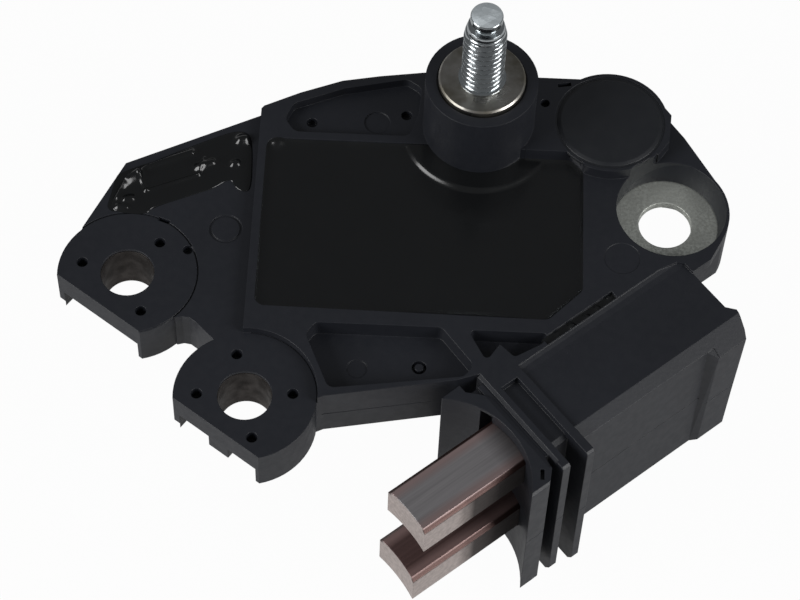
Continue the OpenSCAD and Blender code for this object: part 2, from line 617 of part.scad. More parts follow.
// Contact plate behind a chute, with an arm forward and a leg into the well
module contact(top, arm_z0, arm_z1, leg_u0, leg_v) in_holder() {
    block(chute_u1, chute_u1 + contact_t, pocket_v0, brush_v + chute_w / 2,
        top - brush_h, top);
    block(leg_u0, chute_u1 + contact_t, pocket_v0, pocket_v0 + contact_t, arm_z0, arm_z1);
    block(leg_u0, leg_u0 + 3, pocket_v0, pocket_v0 + contact_t, arm_z0, bar_z + contact_t);
    block(leg_u0, leg_u0 + 3, leg_v, pocket_v0 + contact_t, bar_z, bar_z + contact_t);
}
module upper_contact_shape() contact(brush_a_top, 2.2, bar_z + contact_t, 17.6, 9);
module lower_contact_shape() contact(brush_b_top, -8.4, -5.6, 13.4, 10.4);
module upper_contact() color(cl_brass) placed() upper_contact_shape();
module lower_contact() color(cl_brass) placed() lower_contact_shape();

// Heat sink plate with the pad that shows through the window in the floor
module sink_shape() {
    slab(well_floor, sink_z) polygon([[-14.4, -1], [16.4, -1], [19.4, 2.4], [19.4, 16],
        [-14.4, 16]]);
    slab(0.3, well_floor + eps) offset(delta = -0.3) window_plan();
}
module heat_sink() color(cl_alu) placed() sink_shape();
module substrate_shape() translate([-12.5, 0.5, sink_z]) cube([25.5, 14.4, ceramic_t]);
module substrate() color(cl_white) placed() substrate_shape();
chips = [[-7, 8, 7, 6], [2, 5, 6, 5], [8, 10.5, 3.2, 3.2]];
module chip_shape(c) translate([c[0] - c[2] / 2, c[1] - c[3] / 2, chip_z])
    cube([c[2], c[3], chip_t]);
module control_chip() color(cl_dark) placed() chip_shape(chips[0]);
module power_chip() color(cl_dark) placed() chip_shape(chips[1]);
module diode_chip() color(cl_dark) placed() chip_shape(chips[2]);
module capacitor() color(cl_alu) placed() disc(cap_x, cap_y, capacitor_d / 2, 1.4, cap_top - cap_t);

housing();
rear_cover();
round_cap();
potting();
wing_sealant();
trench_sealant();
terminal_stud();
contact_washer();
left_lug_sleeve();
front_lug_sleeve();
eyelet();
ground_busbar();
stud_busbar();
upper_brush();
lower_brush();
upper_spring();
lower_spring();
upper_pigtail();
lower_pigtail();
upper_contact();
lower_contact();
heat_sink();
substrate();
control_chip();
power_chip();
diode_chip();
capacitor();
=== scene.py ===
"""Looks of an alternator voltage regulator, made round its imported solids."""
import math

import bmesh
import bpy
import numpy as np
from mathutils import Matrix, Vector
from mathutils.geometry import delaunay_2d_cdt


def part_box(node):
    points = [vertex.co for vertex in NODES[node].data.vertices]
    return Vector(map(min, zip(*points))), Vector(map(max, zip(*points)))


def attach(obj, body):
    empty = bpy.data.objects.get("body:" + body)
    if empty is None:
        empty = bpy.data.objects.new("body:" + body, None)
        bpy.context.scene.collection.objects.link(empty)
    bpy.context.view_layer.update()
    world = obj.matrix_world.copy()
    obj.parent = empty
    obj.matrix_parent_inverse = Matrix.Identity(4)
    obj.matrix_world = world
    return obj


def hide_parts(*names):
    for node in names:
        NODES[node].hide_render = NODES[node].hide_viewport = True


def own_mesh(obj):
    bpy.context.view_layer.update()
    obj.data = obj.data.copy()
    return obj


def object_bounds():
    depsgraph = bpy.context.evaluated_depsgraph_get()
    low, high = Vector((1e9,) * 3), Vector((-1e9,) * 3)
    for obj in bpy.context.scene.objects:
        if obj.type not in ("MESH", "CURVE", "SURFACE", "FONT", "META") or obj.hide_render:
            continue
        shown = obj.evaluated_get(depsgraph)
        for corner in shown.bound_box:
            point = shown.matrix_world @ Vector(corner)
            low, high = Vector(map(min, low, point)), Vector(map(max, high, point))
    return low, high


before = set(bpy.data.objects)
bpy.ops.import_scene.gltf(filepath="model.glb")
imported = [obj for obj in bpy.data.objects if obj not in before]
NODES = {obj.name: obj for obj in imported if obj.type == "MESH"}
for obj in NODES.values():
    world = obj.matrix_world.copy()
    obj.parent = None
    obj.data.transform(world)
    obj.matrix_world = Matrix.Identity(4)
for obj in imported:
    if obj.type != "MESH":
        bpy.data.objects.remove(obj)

bl_info = {
    "name": "Voltage regulator looks",
    "version": (1, 0, 0),
    "blender": (4, 5, 0),
    "location": "3D View > Sidebar > Regulator",
    "description": "Thread, resin, springs, finishes and stage of an alternator voltage regulator",
    "category": "Object",
}

cad_low, cad_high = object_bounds()
BODY = "regulator"
MM = 0.001
# points nearer than this, in metres, are one point
MERGE = 1e-6
# the same for points of a plan drawing, in millimetres
PLAN_MERGE = 1e-5
# The solids' plan is drawn from a point in the well; the row's origin is the left lug.
PLAN_X, PLAN_Y = 31.66, -2.2
BRUSH_ANGLE = math.radians(40)
# where the brushes' middle lies across the holder
BRUSH_ACROSS = 21.6
# middle and radius of the stud's tower in the plan
TOWER = (8.48, 24.12)
TOWER_RADIUS = 6.62
# side of the tower where the resin stands highest; its slope mirrors the left lamp there
POUR_BEARING = math.radians(228)

# the stud above its head as (radius, height): collar, core, cone, neck and dog point
STUD_STEPS = [(2.5, 17.8), (2.76, 17.88), (2.82, 17.95), (2.8, 18.06), (2.7, 18.12), (2.3, 18.16),
              (2.04, 18.3), (2.04, 26.9), (2.2, 27.45), (2.14, 27.95), (2.06, 28.05),
              (1.6, 28.12), (1.46, 28.2), (1.46, 28.85), (1.6, 28.95), (1.8, 29.0),
              (1.87, 29.08), (1.88, 29.74), (1.84, 29.84), (1.78, 29.88)]
# points between which the facets of the stud's torn end lie, as (x, y, rise)
TORN_POINTS = [(-0.9, -0.5, 0.3), (0.1, -1.1, 0.12), (1.1, -0.3, 0.02), (0.6, 0.8, 0.2),
               (-0.5, 0.95, 0.34), (0.15, -0.1, 0.26)]

# outline of the sealant's film in the plan; it runs over the edges of its tray
FILM = [(-34.3, 11.5), (-33.9, 10.6), (-32.3, 10.3), (-30.2, 10.4), (-29.4, 11.2), (-27.6, 12.0),
        (-26.0, 12.7), (-22.9, 14.1), (-21.3, 15.2), (-20.5, 15.4), (-19.9, 14.5), (-19.0, 14.0),
        (-18.3, 14.3), (-18.1, 16.0), (-18.3, 20.0), (-18.8, 22.0), (-20.4, 22.4), (-23.5, 21.1),
        (-30.0, 17.6), (-31.9, 16.5), (-33.2, 15.0), (-33.9, 13.2)]
# start, end and half width of each welt that the weld tabs and drips leave in the film
WELTS = [((-19.7, 21.0), (-18.9, 21.3), 0.7), ((-30.5, 16.8), (-25.5, 19.0), 0.5),
         ((-24.5, 16.9), (-22.9, 17.7), 0.5), ((-20.3, 17.6), (-20.0, 17.7), 0.5),
         ((-32.7, 14.9), (-31.6, 15.6), 0.85), ((-33.8, 12.4), (-33.0, 14.3), 0.45),
         ((-32.7, 12.0), (-32.0, 12.2), 0.45), ((-33.5, 11.1), (-32.6, 11.0), 0.35),
         ((-31.5, 15.8), (-30.4, 13.5), 0.25), ((-30.4, 13.3), (-24.4, 15.9), 0.22),
         ((-24.4, 15.9), (-23.8, 18.3), 0.22)]
# height of a welt over its half width, so that its flanks mirror a lamp to the camera
WELT_STEEPNESS = 1.05
# along and across the holder, height and half width of each lump in the trench
LUMPS = [(13.3, 15.0, 0.5, 0.45), (7.7, 14.8, 0.3, 0.3), (11.4, 14.8, 0.35, 0.3),
         (15.5, 15.1, 0.4, 0.35), (17.2, 14.9, 0.35, 0.3), (19.1, 14.7, 0.35, 0.3),
         (11.5, 13.4, 0.3, 0.3), (14.3, 13.4, 0.35, 0.3), (16.2, 13.5, 0.3, 0.3)]


def plan(x, y, z=0.0):
    """A point of the plan drawing, in millimetres, as a place in metres."""
    return Vector((x + PLAN_X, y + PLAN_Y, z)) * MM


def holder(u, v, z=0.0):
    """A point of the brush holder (along, across, up), in millimetres, as a place in metres."""
    c, s = math.cos(BRUSH_ANGLE), math.sin(BRUSH_ANGLE)
    return plan(u * c + v * s, u * s - v * c, z)


def linear(code):
    """The linear colour of an sRGB hex value."""
    parts = [int(code[i:i + 2], 16) / 255 for i in (0, 2, 4)]
    return [c / 12.92 if c <= 0.04045 else ((c + 0.055) / 1.055) ** 2.4 for c in parts] + [1.0]


# ---- sizes and colours that a user may change ----

def length(name, text, mm):
    """A length that a user may change, its default in millimetres."""
    return bpy.props.FloatProperty(name=name, description=text, default=mm * MM, unit="LENGTH",
                                   precision=5)


def tint(name, text, code):
    """A colour that a user may change, its default as an sRGB hex value."""
    return bpy.props.FloatVectorProperty(name=name, description=text, default=linear(code),
                                         size=4, subtype="COLOR", min=0, max=1)


def number(name, text, value):
    """A plain number that a user may change."""
    return bpy.props.FloatProperty(name=name, description=text, default=value)


class StudSizes(bpy.types.PropertyGroup):
    """Sizes of the terminal stud's thread"""
    major: length("Major radius", "Radius over the crests of the thread", 2.5)
    minor: length("Minor radius", "Radius in the roots of the thread", 2.06)
    pitch: length("Pitch", "Rise of the thread in one turn", 0.88)
    bottom: length("Thread bottom", "Height at which the thread starts", 18.0)
    top: length("Thread top", "Height at which the thread has run out", 27.5)
    cone: length("Cone start", "Height from which the crests are turned down", 26.3)


class ResinSizes(bpy.types.PropertyGroup):
    """Sizes of the resin in the well"""
    step: length("Mesh step", "Spacing of the points on the resin's surface", 0.45)
    wall_rise: length("Rise at the walls", "How far the resin climbs the walls of the well", 0.3)
    tower_rise: length("Rise at the tower", "Height of the resin collar round the tower", 0.4)
    tower_reach: length("Reach at the tower", "Width of the resin collar round the tower", 2.45)


class SpringSizes(bpy.types.PropertyGroup):
    """Sizes of the brush springs and pigtails"""
    radius: length("Coil radius", "Radius of the spring to the middle of its wire", 1.57)
    wire: length("Wire radius", "Radius of the spring's wire", 0.22)
    turns: number("Turns", "Turns of a brush spring", 8)
    strand: length("Strand radius", "Radius of one strand of a pigtail", 0.2)


class StageSettings(bpy.types.PropertyGroup):
    """Light of the stage"""
    left: number("Left lamp", "Power of the left soft lamp, watts", 2.1)
    right: number("Right lamp", "Power of the right soft lamp, watts", 1.85)
    sky: number("Sky", "Strength of the even light from all round", 0.14)
    mirrored: number("Mirrored floor", "How white the floor looks in glossy faces", 0.28)


class Finishes(bpy.types.PropertyGroup):
    """Colours of the finishes"""
    housing: tint("Housing", "Black moulded plastic", "1d1f25")
    cover: tint("Cap and cover", "Black plastic of the small mouldings", "1e2024")
    resin: tint("Resin", "Black potting resin", "131415")
    zinc: tint("Zinc", "Bright zinc plating", "c9cfd2")
    washer: tint("Washer", "Zinc plating of the contact washer", "bcb9b4")
    stain: tint("Washer stain", "Dull clouds on the contact washer", "7a766c")
    # painted shade: the sleeves' colour is darkened for the shade inside the lug bores
    sleeve: tint("Sleeve", "Steel darkened as painted shade of the bores", "4c4744")
    eyelet: tint("Eyelet", "Tinned sheet", "f2f5ee")
    brass: tint("Brass", "Stamped brass strip", "c8a25c")
    carbon: tint("Brush", "Copper graphite", "c2b5b0")
    # painted shade: the upper brush's top is a darker, greyer copy of the brush colour
    shaded_brush_top: tint("Brush top", "Painted shade on the upper face of a brush", "959294")
    # painted shade and painted reflection: the lower brush's top is darker and browner, for the
    # shade and the mirrored underside of the upper brush above it
    shaded_lower_top: tint("Lower brush top", "Browner upper face of the lower brush", "5f4b49")
    rust: tint("Brush edges", "Copper-rich edges of a brush", "4b3632")
    aluminium: tint("Aluminium", "Rolled aluminium", "b4b8bc")


# ---- node helpers ----

def add(tree, kind, inputs=None, **settings):
    """Adds a node, sets its options, and sets or links its inputs by name or number."""
    node = tree.nodes.new(kind)
    for key, value in settings.items():
        setattr(node, key, value)
    for key, value in (inputs or {}).items():
        if isinstance(value, bpy.types.NodeSocket):
            tree.links.new(value, node.inputs[key])
        else:
            node.inputs[key].default_value = value
    return node


def finish(name):
    """A new material with its tree, its place in the object and its surface shader."""
    material = bpy.data.materials.new(name)
    material.use_nodes = True
    tree = material.node_tree
    tree.nodes.clear()
    place = add(tree, "ShaderNodeTexCoord").outputs["Object"]
    surface = add(tree, "ShaderNodeBsdfPrincipled")
    add(tree, "ShaderNodeOutputMaterial", {"Surface": surface.outputs["BSDF"]})
    return material, tree, place, surface


def grain(tree, place, size, detail=2.0, stretch=(1, 1, 1), turn=0.0):
    """Noise whose spots are about size millimetres wide, drawn out by stretch."""
    lay = add(tree, "ShaderNodeMapping", {"Vector": place, "Rotation": (0, 0, turn),
                                          "Scale": stretch}, vector_type="TEXTURE")
    return add(tree, "ShaderNodeTexNoise", {"Vector": lay.outputs[0], "Scale": 0.5 / (size * MM),
                                            "Detail": detail}).outputs[0]


def spread(tree, value, low, high, start=0.35, end=0.65):
    """Spreads a value between start and end, such as noise, over the range from low to high."""
    return add(tree, "ShaderNodeMapRange",
               {0: value, 1: start, 2: end, 3: low, 4: high}).outputs[0]


def blend(tree, share, first, second):
    """Mixes two colours; a share of 1 gives the second."""
    return add(tree, "ShaderNodeMix", {0: share, 6: first, 7: second},
               data_type="RGBA").outputs[2]


def math_node(tree, kind, first, second=0.0):
    """The result of a sum, product or the like of one or two values."""
    return add(tree, "ShaderNodeMath", {0: first, 1: second}, operation=kind).outputs[0]


def waves(tree, height, depth):
    """The bumped normal of a height, its depth in millimetres."""
    return add(tree, "ShaderNodeBump", {"Height": height, "Distance": depth * MM,
                                        "Strength": 1.0}).outputs[0]


def relief(tree, surface, height, depth, edge):
    """Bumps of a depth in millimetres on edges softened by a radius in millimetres."""
    soft = add(tree, "ShaderNodeBevel", {"Radius": edge * MM}, samples=6)
    bump = add(tree, "ShaderNodeBump", {"Height": height, "Distance": depth * MM,
                                        "Strength": 1.0, "Normal": soft.outputs[0]})
    tree.links.new(bump.outputs[0], surface.inputs["Normal"])


def shade(colour, factor):
    """The colour made darker or lighter by a factor."""
    return [c * factor for c in colour[:3]] + [1.0]


def dress(material, *names):
    """Gives CAD nodes that stay as they are a material."""
    for name in names:
        mesh = NODES[name].data
        mesh.materials.clear()
        mesh.materials.append(material)


# ---- finishes ----

def moulded_nylon(colour):
    """Glass-filled nylon, moulded against a sparked steel: black, satin, faintly grained."""
    material, tree, place, surface = finish("glass_filled_nylon")
    flow = grain(tree, place, 6.0, 3.0)
    fibre = grain(tree, place, 0.22, 3.0)
    tree.links.new(blend(tree, spread(tree, flow, 0, 1), shade(colour, 0.93), shade(colour, 1.07)),
                   surface.inputs["Base Color"])
    tree.links.new(spread(tree, grain(tree, place, 0.5), 0.44, 0.5), surface.inputs["Roughness"])
    relief(tree, surface, fibre, 0.01, 0.13)
    return material


def moulded_cap(colour):
    """Unfilled nylon of the small mouldings: a little smoother than the housing."""
    material, tree, place, surface = finish("smooth_nylon")
    surface.inputs["Base Color"].default_value = colour
    tree.links.new(spread(tree, grain(tree, place, 1.0), 0.38, 0.48), surface.inputs["Roughness"])
    relief(tree, surface, grain(tree, place, 0.3), 0.006, 0.18)
    return material


def cast_resin(colour, name, rough, depth):
    """Epoxy that set in place: deep black with a wet skin and slow waves."""
    material, tree, place, surface = finish(name)
    surface.inputs["Base Color"].default_value = colour
    tree.links.new(spread(tree, grain(tree, place, 2.0), rough - 0.04, rough + 0.06),
                   surface.inputs["Roughness"])
    tree.links.new(waves(tree, grain(tree, place, 2.5, 1.0), depth), surface.inputs["Normal"])
    return material


def plated_steel(colour, stain, name, low, high, spots, edge=0.08):
    """Plated steel: a bright metal with dull clouds in its plating, spots millimetres wide."""
    material, tree, place, surface = finish(name)
    surface.inputs["Metallic"].default_value = 1.0
    cloud = grain(tree, place, spots, 3.0)
    tree.links.new(blend(tree, spread(tree, cloud, 0, 1), stain, colour),
                   surface.inputs["Base Color"])
    tree.links.new(spread(tree, cloud, high, low), surface.inputs["Roughness"])
    relief(tree, surface, grain(tree, place, 0.2, 2.0), 0.002, edge)
    return material


def sheared_steel(colour):
    """Steel torn off by a shear: rough and chipped; its painted highlight is a brighter zinc
    colour.
    """
    material, tree, place, surface = finish("sheared_steel")
    surface.inputs["Metallic"].default_value = 1.0
    # painted highlight: the cut end's colour is the zinc's made 1.45 times as bright
    surface.inputs["Base Color"].default_value = shade(colour, 1.45)
    surface.inputs["Roughness"].default_value = 0.62
    tree.links.new(waves(tree, grain(tree, place, 0.5, 3.0), 0.1), surface.inputs["Normal"])
    return material


def stamped_sheet(colour):
    """Tinned sheet from a stamping die: grey, softly rolled at its edges, peppered and dull."""
    material, tree, place, surface = finish("tinned_sheet")
    surface.inputs["Metallic"].default_value = 1.0
    # the die's grit is near 0.05 mm; drawn four times as coarse, so it shows
    pepper = grain(tree, place, 0.2, 3.0)
    cloud = grain(tree, place, 1.1, 4.0)
    clouded = blend(tree, spread(tree, cloud, 0, 1), shade(colour, 0.82), colour)
    speck = spread(tree, pepper, 0, 1, 0.42, 0.6)
    tree.links.new(blend(tree, speck, shade(colour, 0.68), clouded), surface.inputs["Base Color"])
    tree.links.new(spread(tree, pepper, 0.7, 0.56), surface.inputs["Roughness"])
    relief(tree, surface, pepper, 0.03, 0.25)
    return material


def copper_graphite(colour, shaded_top_colour, edge_colour, top, middle, dark_from):
    """Pressed copper graphite: ground lines along it, red bevels, painted shade towards the
    holder.

    top and middle are the brush's upper face and its middle across the holder; the painted
    shade of the holder starts at dark_from along it."""
    material, tree, place, surface = finish("copper_graphite")
    # real grinding lines are a few hundredths of a millimetre apart; drawn wider, so they show
    lines = grain(tree, place, 0.11, 3.0, (60, 1, 1), BRUSH_ANGLE)
    fleck = grain(tree, place, 0.25, 4.0)
    # how far a point lies from the brush's middle, across it
    turned = add(tree, "ShaderNodeMapping", {"Vector": place, "Rotation": (0, 0, -BRUSH_ANGLE)})
    part = add(tree, "ShaderNodeSeparateXYZ", {0: turned.outputs[0]})
    off = math_node(tree, "SUBTRACT", part.outputs["Y"], middle)
    off = math_node(tree, "ABSOLUTE", off)
    side = spread(tree, off, 0, 1, 2.75 * MM, 2.95 * MM)
    high = spread(tree, part.outputs["Z"], 0, 1, top - 0.75 * MM, top - 0.45 * MM)
    bevel = math_node(tree, "MULTIPLY", side, high)
    # painted shade of the holder: from dark_from on, the sides darken to near black
    holder_shade = spread(tree, part.outputs["X"], 0, 0.92, dark_from, dark_from + 2.4 * MM)
    body = blend(tree, spread(tree, fleck, 0, 1), shade(colour, 0.85), shade(colour, 1.1))
    body = blend(tree, holder_shade, body, linear("191211"))
    flat = spread(tree, part.outputs["Z"], 0, 1, top - 0.2 * MM, top - 0.05 * MM)
    # the upper face takes its painted shade, with ground lines and pink margins at its edges
    shaded_top = blend(tree, spread(tree, lines, 0, 1), shade(shaded_top_colour, 0.9), shade(shaded_top_colour, 1.06))
    margin = spread(tree, off, 0, 0.7, 1.5 * MM, 2.4 * MM)
    shaded_top = blend(tree, margin, shaded_top, linear("a58a87"))
    # painted shade: the top darkens only just before the holder, and the bevels take half of
    # the sides' painted shade
    top_holder_shade = spread(tree, part.outputs["X"], 0, 0.85, dark_from + 7 * MM, dark_from + 11 * MM)
    body = blend(tree, flat, body, blend(tree, top_holder_shade, shaded_top, linear("2c2321")))
    half = spread(tree, holder_shade, 0, 0.5)
    edge = blend(tree, half, edge_colour, linear("2b1815"))
    tree.links.new(blend(tree, bevel, body, edge), surface.inputs["Base Color"])
    # where the painted shade lies on the sides, they also lose the shine of the metal
    bare = math_node(tree, "MAXIMUM", flat, bevel)
    dull = add(tree, "ShaderNodeMath", {0: holder_shade, 1: bare}, operation="SUBTRACT", use_clamp=True)
    tree.links.new(spread(tree, dull.outputs[0], 0.65, 0.1), surface.inputs["Metallic"])
    smooth = spread(tree, lines, 0.32, 0.42)
    rough = add(tree, "ShaderNodeMath", {0: dull.outputs[0], 1: 0.35, 2: smooth},
                operation="MULTIPLY_ADD")
    tree.links.new(rough.outputs[0], surface.inputs["Roughness"])
    relief(tree, surface, lines, 0.005, 0.06)
    return material


def plain_metal(name, colour, rough):
    """A strip, wire or plate inside the moulding, as rolled or drawn."""
    material, tree, place, surface = finish(name)
    surface.inputs["Metallic"].default_value = 1.0
    drawn = grain(tree, place, 0.15, 2.0, (8, 1, 1))
    tree.links.new(blend(tree, spread(tree, drawn, 0, 1), shade(colour, 0.85), colour),
                   surface.inputs["Base Color"])
    surface.inputs["Roughness"].default_value = rough
    return material


def plain_body(name, colour, rough):
    """A sintered or moulded body inside the resin."""
    material, tree, place, surface = finish(name)
    spots = grain(tree, place, 0.3, 2.0)
    tree.links.new(blend(tree, spread(tree, spots, 0, 1), shade(colour, 0.94), colour),
                   surface.inputs["Base Color"])
    surface.inputs["Roughness"].default_value = rough
    return material


# ---- mesh helpers ----

def mesh_object(name, build, material, smooth=35):
    """A new object from a filled bmesh, its doubles merged and its faces turned outwards.

    Edges up to smooth degrees are shaded as a curve."""
    bmesh.ops.remove_doubles(build, verts=build.verts, dist=MERGE)
    bmesh.ops.recalc_face_normals(build, faces=build.faces)
    mesh = bpy.data.meshes.new(name)
    build.to_mesh(mesh)
    build.free()
    for face in mesh.polygons:
        face.use_smooth = True
    mesh.set_sharp_from_angle(angle=math.radians(smooth))
    mesh.materials.append(material)
    piece = bpy.data.objects.new(name, mesh)
    bpy.context.scene.collection.objects.link(piece)
    return piece


def settle(piece, slot, *nodes):
    """Fixes a piece to the regulator's body, in place of the CAD nodes named."""
    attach(piece, BODY)
    if nodes:
        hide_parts(*nodes)


def lathe(build, centre, profile, steps, turn=0.0):
    """Turns a profile of (radius, height) in millimetres round a vertical axis through centre."""
    rings = []
    for r, z in profile:
        count = 1 if r == 0 else steps
        rings.append([build.verts.new(centre + Vector((
            r * math.cos(turn + 2 * math.pi * i / steps),
            r * math.sin(turn + 2 * math.pi * i / steps), z)) * MM) for i in range(count)])
    for low, high in zip(rings, rings[1:]):
        for i in range(steps):
            j = (i + 1) % steps
            quad = [low[i % len(low)], low[j % len(low)], high[j % len(high)], high[i % len(high)]]
            corners = list(dict.fromkeys(quad))
            if len(corners) > 2:
                build.faces.new(corners)


def sheared_end(build, centre, radius, z):
    """The stud's cut end: a face of a few tilted facets inside a circle that lathe has made."""
    lathe(build, centre, [(0, z - 0.3), (radius, z - 0.3), (radius, z)], 48)
    rim = [v for v in build.verts if abs(v.co.z - z * MM) < 1e-7]
    rim.sort(key=lambda v: math.atan2(*(v.co - centre).yx))
    points = [(v.co - centre).xy / MM for v in rim] + [Vector(q[:2]) for q in TORN_POINTS]
    faces = delaunay_2d_cdt(points, [], [list(range(len(rim)))], 1, PLAN_MERGE)[2]
    corners = rim + [build.verts.new(centre + Vector((x, y, z + rise)) * MM)
                     for x, y, rise in TORN_POINTS]
    for face in faces:
        build.faces.new([corners[i] for i in face])


def level_outline(node, z):
    """The longest outline in which a CAD node meets the height z, as points of the plan."""
    build = bmesh.new()
    build.from_mesh(NODES[node].data)
    bmesh.ops.remove_doubles(build, verts=build.verts, dist=MERGE)
    cut = bmesh.ops.bisect_plane(build, geom=build.verts[:] + build.edges[:] + build.faces[:],
                                 plane_co=(0, 0, z * MM), plane_no=(0, 0, 1))["geom_cut"]
    near = {}
    for edge in cut:
        if isinstance(edge, bmesh.types.BMEdge):
            a, b = edge.verts
            near.setdefault(a, []).append(b)
            near.setdefault(b, []).append(a)
    loops, used = [], set()
    for start in near:
        if start in used:
            continue
        loop, here = [], start
        while here is not None and here not in used:
            used.add(here)
            loop.append((here.co.x / MM - PLAN_X, here.co.y / MM - PLAN_Y))
            here = next((v for v in near[here] if v not in used), None)
        loops.append(np.array(loop))
    build.free()
    return max(loops, key=lambda p: np.linalg.norm(np.diff(p, axis=0), axis=1).sum())


def smooth_loop(points):
    """A closed smooth curve through plan points, eight points to each stretch."""
    p = np.array(points, float)
    a, b, c, d = (np.roll(p, k, axis=0)[:, None] for k in (1, 0, -1, -2))
    t = np.linspace(0, 1, 8, endpoint=False)[None, :, None]
    # each stretch is a cubic that leaves and meets the points along their neighbours' chord
    curve = 0.5 * (2 * b + (c - a) * t + (2 * a - 5 * b + 4 * c - d) * t ** 2
                   + (3 * b - a - 3 * c + d) * t ** 3)
    return curve.reshape(-1, 2)


def walk(loop, step):
    """Even points on a closed outline, anticlockwise, its corners kept."""
    x, y = loop.T
    if (x * np.roll(y, -1) - y * np.roll(x, -1)).sum() < 0:
        loop = loop[::-1]
    points = []
    for a, b in zip(loop, np.roll(loop, -1, axis=0)):
        count = max(1, round(np.linalg.norm(b - a) / step))
        points += [a + (b - a) * k / count for k in range(count)]
    keep = [points[0]]
    for p in points[1:]:
        if np.linalg.norm(p - keep[-1]) > step * 0.4:
            keep.append(p)
    return np.array(keep)


def edge_distance(points, loop):
    """Distance of each point to a closed outline."""
    best = np.full(len(points), np.inf)
    for a, b in zip(loop, np.roll(loop, -1, axis=0)):
        d = b - a
        t = np.clip(((points - a) @ d) / max(d @ d, 1e-12), 0, 1)
        best = np.minimum(best, np.linalg.norm(points - a - t[:, None] * d, axis=1))
    return best


def resin_pool(name, loop, step, height, floor, material, rings=None):
    """A pool with the given outline whose surface height is a function of plan and wall distance.

    rings is a centre and radii at which the mesh gets close circles of points."""
    # rows of points along the wall, how far the even grid and the circles stay off it, and how
    # far the grid stays off the circles
    rows, grid_off, circle_off, gap = (0.12, 0.3, 0.55), 0.75, 0.15, 0.2
    loop = walk(loop, step)
    inward = np.roll(loop, -1, axis=0) - np.roll(loop, 1, axis=0)
    inward = np.stack([-inward[:, 1], inward[:, 0]], 1) / np.linalg.norm(inward, axis=1)[:, None]
    sets = []
    for d in rows:
        ring = loop + inward * d
        sets.append(ring[edge_distance(ring, loop) > d * 0.9])
    low, high = loop.min(0), loop.max(0)
    # 0.87 is the height of an even triangle over its side
    gx, gy = np.meshgrid(np.arange(low[0], high[0], step),
                         np.arange(low[1], high[1], step * 0.87))
    gx[1::2] += step / 2
    grid = np.stack([gx.ravel(), gy.ravel()], 1)
    grid = grid[edge_distance(grid, loop) > grid_off]
    if rings:
        centre, radii = rings
        off = np.hypot(*(grid - centre).T)
        grid = grid[(off < radii[0] - gap) | (off > radii[-1] + gap)]
        turn = np.linspace(0, 2 * math.pi, 200, endpoint=False)
        circles = np.concatenate([centre + r * np.stack([np.cos(turn), np.sin(turn)], 1)
                                  for r in radii])
        sets.append(circles[edge_distance(circles, loop) > circle_off])
    sets.append(grid)
    points = np.concatenate([loop] + sets)
    count = len(loop)
    verts, _, faces, *_ = delaunay_2d_cdt([Vector(p) for p in points], [],
                                          [list(range(count))], 1, PLAN_MERGE)
    flat = np.array([v[:] for v in verts])
    surface = height(flat[:, 0], flat[:, 1], edge_distance(flat, loop))
    build = bmesh.new()
    upper = [build.verts.new(plan(x, y, z)) for (x, y), z in zip(flat, surface)]
    lower = [build.verts.new(plan(x, y, floor)) for x, y in flat]
    for face in faces:
        build.faces.new([upper[i] for i in face])
        build.faces.new([lower[i] for i in reversed(face)])
    for edge in [e for e in build.edges if e.is_boundary and e.verts[0] in set(upper)]:
        a, b = edge.verts
        i, j = upper.index(a), upper.index(b)
        build.faces.new([upper[i], upper[j], lower[j], lower[i]])
    loose = [v for v in build.verts if not v.link_faces]
    bmesh.ops.delete(build, geom=loose, context="VERTS")
    return mesh_object(name, build, material, smooth=75)


def ridge(x, y, a, b, rise, width):
    """Height over the plan of a soft welt between two points."""
    a, b = np.array(a), np.array(b)
    p = np.stack([x, y], 1)
    d = b - a
    t = np.clip(((p - a) @ d) / max(d @ d, 1e-9), 0, 1)
    off = np.linalg.norm(p - a - t[:, None] * d, axis=1)
    return rise * np.exp(-(off / width) ** 2)


# ---- geometry node trees ----

def new_tree(name, inputs):
    """A modifier tree with named inputs; returns the tree, its input node and socket names."""
    tree = bpy.data.node_groups.new(name, "GeometryNodeTree")
    tree.is_modifier = True
    tree.interface.new_socket(name="Geometry", in_out="OUTPUT", socket_type="NodeSocketGeometry")
    tree.interface.new_socket(name="Geometry", in_out="INPUT", socket_type="NodeSocketGeometry")
    keys = {}
    for label in inputs:
        socket = tree.interface.new_socket(name=label, in_out="INPUT",
                                           socket_type="NodeSocketFloat")
        keys[label] = socket.identifier
    return tree, add(tree, "NodeGroupInput"), keys


def close_tree(tree, geometry, material):
    """Ends a tree: makes its instances real and gives them their material."""
    real = add(tree, "GeometryNodeRealizeInstances", {"Geometry": geometry})
    done = add(tree, "GeometryNodeSetMaterial", {"Geometry": real.outputs[0],
                                                 "Material": material})
    add(tree, "NodeGroupOutput", {"Geometry": done.outputs[0]})


def run_tree(piece, tree, keys, values):
    """Runs a tree on a piece and leaves its result as the piece's plain mesh."""
    modifier = piece.modifiers.new(tree.name, "NODES")
    modifier.node_group = tree
    for label, value in values.items():
        modifier[keys[label]] = float(value)
    piece.update_tag()
    bpy.context.view_layer.update()
    graph = bpy.context.evaluated_depsgraph_get()
    mesh = bpy.data.meshes.new_from_object(piece.evaluated_get(graph))
    piece.modifiers.clear()
    old, piece.data = piece.data, mesh
    bpy.data.meshes.remove(old)


